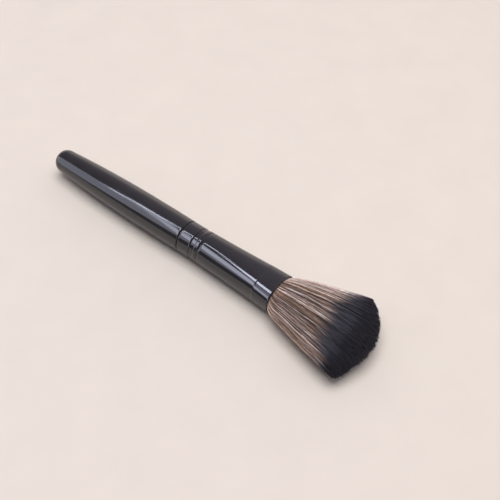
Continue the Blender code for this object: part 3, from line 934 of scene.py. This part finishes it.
# The room's shade changes along a slope from a level, up to a ceiling, and dims toward the camera.
# Beyond the brush it glows near the horizon. A ramp turns it into colour
ROOM_SLOPE = (0.32, -0.13, -0.155)
ROOM_LEVEL = 0.62
ROOM_CEILING = 0.52
DIM_SPAN = (-0.7, 0.1)
DIM_SPREAD = (0.2, 1.0)
GLOW_SPAN = (0.3, 0.9)
GLOW_SPREAD = (0.0, 0.35)
GLOW_HEIGHTS = (0.5, 0.1)
ROOM_COLOURS = ((0.0, (0.0, 0.0, 0.0)), (0.4, (0.31, 0.285, 0.32)), (0.9, (0.76, 0.65, 0.62)))
ROOM_STRENGTH = 1.66


def from_photo(place):
    """Turns a place or direction in the photograph's axes into the frame's."""
    right, away, up = place
    turn_cos, turn_sin = math.cos(PHOTO_TURN), math.sin(PHOTO_TURN)
    return Vector((turn_cos * right - turn_sin * away, turn_sin * right + turn_cos * away, up))


def add_camera():
    lens = bpy.data.cameras.new("photo_camera")
    lens.lens = CAMERA_LENS
    lens.sensor_width = SENSOR
    lens.clip_start = NEAREST_VIEW
    lens.clip_end = FARTHEST_VIEW
    camera = bpy.data.objects.new("photo_camera", lens)
    camera.location = from_photo(CAMERA_PLACE) + Vector((0.0, AXIS_ACROSS, 0.0))
    camera.rotation_euler = (math.pi / 2 - CAMERA_PITCH, 0.0, PHOTO_TURN)
    bpy.context.scene.collection.objects.link(camera)
    bpy.context.scene.camera = camera


def add_lamp(name, azimuth, elevation, distance, width, height, roll, radiance, colour):
    """A soft rectangular lamp at a direction in the photograph's axes, turned to the brush and rolled.

    Azimuth 0 is away from the camera and 90 to its right.
    """
    lamp = bpy.data.lights.new(name, "AREA")
    lamp.shape = "RECTANGLE"
    lamp.size = width
    lamp.size_y = height
    lamp.color = colour
    lamp.energy = radiance * math.pi * width * height
    turn, rise = math.radians(azimuth), math.radians(elevation)
    toward = from_photo((math.sin(turn) * math.cos(rise), math.cos(turn) * math.cos(rise),
                         math.sin(rise)))
    thing = bpy.data.objects.new(name, lamp)
    thing.location = toward * distance
    facing = toward.to_track_quat("Z", "Y") @ Quaternion((0.0, 0.0, 1.0), math.radians(-roll))
    thing.rotation_euler = facing.to_euler()
    bpy.context.scene.collection.objects.link(thing)
    return thing


def add_lamps():
    """Cool softboxes that only the gloss shows, and a wide key overhead that lights all.

    The key casts the shadow and isn't seen in the gloss.
    """
    for softbox in SOFTBOXES:
        add_lamp(*softbox, SOFTBOX_COLOUR).visible_diffuse = False
    add_lamp(*KEY, KEY_COLOUR).visible_glossy = False


def add_world():
    """A pale room: bright and warm at the horizon beyond the brush, dim toward the camera."""
    world = bpy.data.worlds.new("room")
    world.use_nodes = True
    bpy.context.scene.world = world
    tree = world.node_tree
    add = node_adder(tree)
    place = add("ShaderNodeTexCoord").outputs["Generated"]

    def calculated(operation, first, second):
        return add("ShaderNodeMath", {0: first, 1: second}, operation=operation).outputs[0]

    def along(direction):
        turned = from_photo(direction)
        product = add("ShaderNodeVectorMath", {0: place, 1: turned}, operation="DOT_PRODUCT")
        return product.outputs["Value"]

    height = add("ShaderNodeSeparateXYZ", {0: place}).outputs["Z"]
    beyond = along((0.0, 1.0, 0.0))
    level = calculated("ADD", along(ROOM_SLOPE), ROOM_LEVEL)
    level = calculated("MINIMUM", level, ROOM_CEILING)
    dimmed = calculated("MULTIPLY", level, remap(add, beyond, DIM_SPAN, DIM_SPREAD))
    glow = calculated("MULTIPLY", remap(add, beyond, GLOW_SPAN, GLOW_SPREAD),
                      remap(add, height, GLOW_HEIGHTS, (0.0, 1.0)))
    total = calculated("ADD", dimmed, glow)
    colours = ramp(add("ShaderNodeValToRGB", {"Fac": total}), ROOM_COLOURS)
    background = tree.nodes["Background"]
    tree.links.new(colours.outputs["Color"], background.inputs["Color"])
    background.inputs["Strength"].default_value = ROOM_STRENGTH


def add_floor():
    """A plain pale table top, just under the brush."""
    corners = [(x, y, -FLOOR_GAP) for x, y in ((-FLOOR_HALF, -FLOOR_HALF), (FLOOR_HALF, -FLOOR_HALF),
                                               (FLOOR_HALF, FLOOR_HALF), (-FLOOR_HALF, FLOOR_HALF))]
    look = speckled("pale_table", dark=(0.752, 0.700, 0.626), light=(0.778, 0.726, 0.650),
                    roughness=0.8, scale=60.0, bump=0.02 * MM)
    floor = make_piece("floor", corners, [(0, 1, 2, 3)], [look])


def build_scene():
    bpy.context.scene.view_settings.view_transform = "Standard"
    add_camera()
    add_world()
    add_lamps()
    add_floor()
    lacquer = gloss_black("black_lacquer", colour=(0.010, 0.010, 0.012), roughness=0.10,
                          grain_stretch=0.06, peel=0.004 * MM)
    bare_wood = speckled("bare_wood", dark=(0.40, 0.27, 0.15), light=(0.55, 0.40, 0.24),
                         roughness=0.7, scale=500.0, bump=0.03 * MM)
    coating = gloss_black("black_coated_metal", colour=(0.010, 0.010, 0.014), roughness=0.055,
                          grain_stretch=0.3, peel=0.0004 * MM)
    build_handle(lacquer, bare_wood)
    build_ferrule(coating)
    build_tuft(hair_material())
    dress_inner_nodes()


build_scene()
